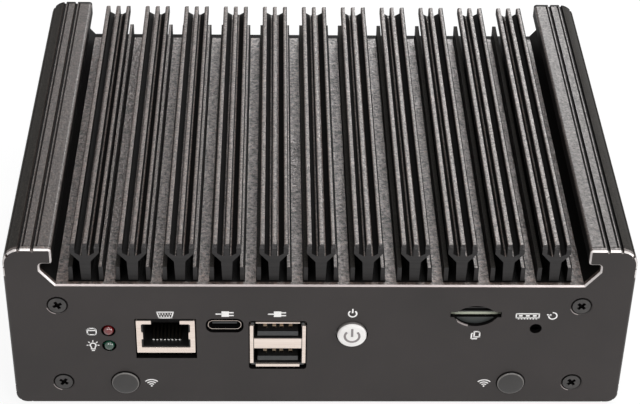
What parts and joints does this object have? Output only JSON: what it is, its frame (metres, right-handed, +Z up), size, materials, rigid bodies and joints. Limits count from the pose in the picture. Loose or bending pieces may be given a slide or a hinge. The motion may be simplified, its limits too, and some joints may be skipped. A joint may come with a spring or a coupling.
{
  "type": "fanless firewall mini pc",
  "caption": "Low box-shaped fanless network computer in a dark aluminium shell with branched cooling fins on top, and sockets, a power button and lamps in the front panel.",
  "frame": {"origin": "middle of the footprint on the surface that the feet stand on", "axes": "+X to the right as seen from the front, +Y to the rear, +Z up; the front panel faces -Y"},
  "size_m": [0.168, 0.1322, 0.0564],
  "materials": {
    "shell_black": "black anodised, fine grain blasted",
    "panel_charcoal": "charcoal coating, smooth, bare bright edge",
    "screw_black": "black oxide",
    "rubber_black": "moulded rubber",
    "socket_metal": "nickel plated sheet",
    "insulator_black": "moulded",
    "contact_gold": "plated",
    "button_white": "satin white",
    "lamp_red": "tinted, unlit",
    "lamp_green": "tinted, unlit",
    "board_green": "solder mask",
    "copper": "machined copper",
    "chip_black": "moulded package",
    "capacitor_silver": "bright can"
  },
  "bodies": {
    "case": {"antenna_plug_left": "rubber_black", "antenna_plug_right": "rubber_black", "board_screws": "socket_metal", "board_standoffs": "contact_gold", "bottom_cover": "panel_charcoal", "bottom_cover_screws": "screw_black", "card_reader_base": "insulator_black", "card_reader_shell": "socket_metal", "coin_cell": "socket_metal", "coin_cell_holder": "insulator_black", "com_jack_contacts": "contact_gold", "com_jack_insert": "insulator_black", "com_jack_shield": "socket_metal", "drive_module": "board_green", "drive_screw": "socket_metal", "drive_socket": "insulator_black", "drive_standoff": "contact_gold", "foot_front_left": "rubber_black", "foot_front_right": "rubber_black", "foot_rear_left": "rubber_black", "foot_rear_right": "rubber_black", "front_panel": "panel_charcoal", "front_panel_screws": "screw_black", "heat_spreader": "copper", "heatsink_shell": "shell_black", "lamp_block": "insulator_black", "lamp_green": "lamp_green", "lamp_red": "lamp_red", "lan_jack_1_insert": "insulator_black", "lan_jack_1_shield": "socket_metal", "lan_jack_2_insert": "insulator_black", "lan_jack_2_shield": "socket_metal", "lan_jack_3_insert": "insulator_black", "lan_jack_3_shield": "socket_metal", "lan_jack_4_insert": "insulator_black", "lan_jack_4_shield": "socket_metal", "lan_jack_contacts": "contact_gold", "main_board": "board_green", "memory_module": "board_green", "memory_socket": "insulator_black", "network_chips": "chip_black", "power_capacitors": "capacitor_silver", "power_inductors": "chip_black", "power_inlet_body": "insulator_black", "power_inlet_pin": "socket_metal", "power_switch": "insulator_black", "processor": "chip_black", "rear_panel": "panel_charcoal", "rear_panel_screws": "screw_black", "reset_switch": "insulator_black", "usb_a_contacts": "contact_gold", "usb_a_insulator": "insulator_black", "usb_a_shell": "socket_metal", "usb_c_insulator": "insulator_black", "usb_c_shell": "socket_metal", "video_socket_insulator": "insulator_black", "video_socket_shell": "socket_metal"},
    "power_button": {"power_button": "button_white"},
    "reset_plunger": {"reset_plunger": "insulator_black"}
  },
  "joints": [
    {"name": "power_press", "type": "slide", "parent": "case", "child": "power_button", "axis": [0, 1, 0], "range_m": [0, 0.0008], "stiffness_N_per_m": 1500},
    {"name": "reset_press", "type": "slide", "parent": "case", "child": "reset_plunger", "axis": [0, 1, 0], "range_m": [0, 0.0005], "stiffness_N_per_m": 3000}
  ]
}
